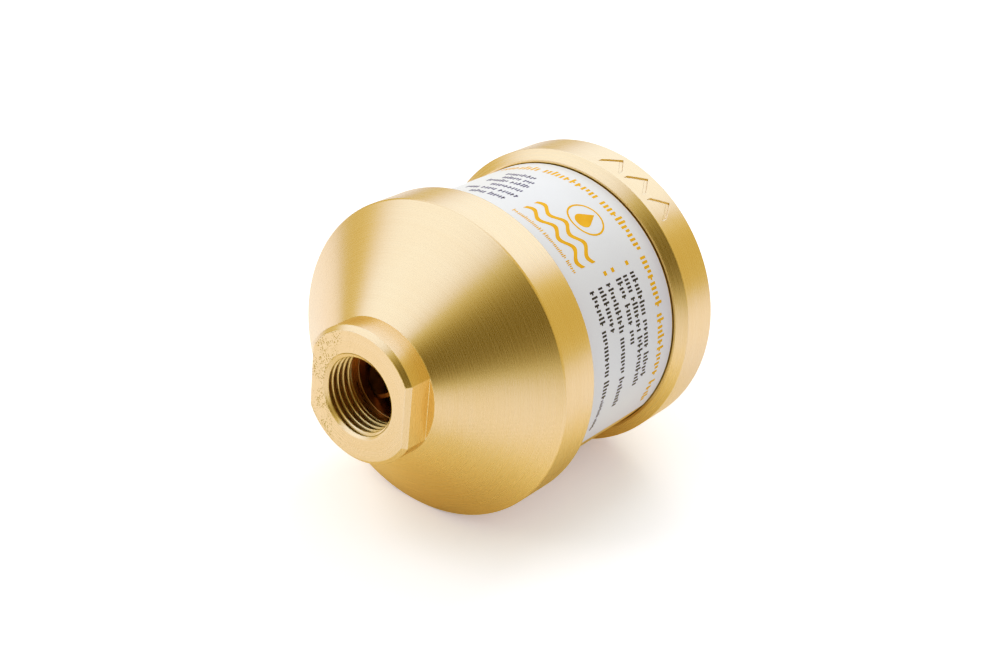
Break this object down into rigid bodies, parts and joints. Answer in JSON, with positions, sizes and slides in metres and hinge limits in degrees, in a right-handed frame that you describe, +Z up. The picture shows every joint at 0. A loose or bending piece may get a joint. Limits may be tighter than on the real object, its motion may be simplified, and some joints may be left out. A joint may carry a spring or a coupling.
{
  "type": "inline water conditioner",
  "caption": "Round brass inline water conditioner with conical threaded ends, wrench flats, a labelled tube, free-turning swirl wheels and a mineral capsule inside.",
  "frame": {"origin": "on the flow axis, halfway between the two port faces", "axes": "+X along the flow axis from the inlet port to the outlet port, +Z up, wrench flats facing +Y and -Y"},
  "size_m": [0.1168, 0.08, 0.08],
  "materials": {
    "turned_brass": "satin fine-turned gold brass",
    "tube_brass": "satin turned brass",
    "plate_brass": "machined brass",
    "label_film": "satin white printed film",
    "seal_rubber": "matt black sealing rubber",
    "bearing_plastic": "white bearing plastic",
    "copper": "satin copper",
    "capsule_steel": "brushed stainless steel",
    "shaft_steel": "ground stainless steel",
    "mineral": "packed mineral granulate"
  },
  "bodies": {
    "casing": {"inlet_cap": "turned_brass", "outlet_cap": "turned_brass", "body_tube": "tube_brass", "label_wrap": "label_film", "inlet_body_o_ring": "seal_rubber", "outlet_body_o_ring": "seal_rubber", "inlet_plate_seal": "seal_rubber", "outlet_plate_seal": "seal_rubber", "inlet_support_plate": "plate_brass", "outlet_support_plate": "plate_brass", "inlet_bush": "bearing_plastic", "outlet_bush": "bearing_plastic", "inlet_swirl_cage": "copper", "outlet_swirl_cage": "copper", "capsule_shell": "capsule_steel", "inlet_capsule_plug": "capsule_steel", "outlet_capsule_plug": "capsule_steel", "inlet_capsule_o_ring": "seal_rubber", "outlet_capsule_o_ring": "seal_rubber", "mineral_fill": "mineral", "swirl_guide": "copper"},
    "inlet_wheel": {"inlet_rotor": "copper", "inlet_rotor_shaft": "shaft_steel", "inlet_shaft_clip": "shaft_steel"},
    "outlet_wheel": {"outlet_rotor": "copper", "outlet_rotor_shaft": "shaft_steel", "outlet_shaft_clip": "shaft_steel"}
  },
  "joints": [
    {"name": "inlet_wheel_spin", "type": "hinge", "parent": "casing", "child": "inlet_wheel", "pos_m": [-0.041, 0, 0], "axis": [1, 0, 0], "continuous": true},
    {"name": "outlet_wheel_spin", "type": "hinge", "parent": "casing", "child": "outlet_wheel", "pos_m": [0.041, 0, 0], "axis": [1, 0, 0], "continuous": true}
  ]
}
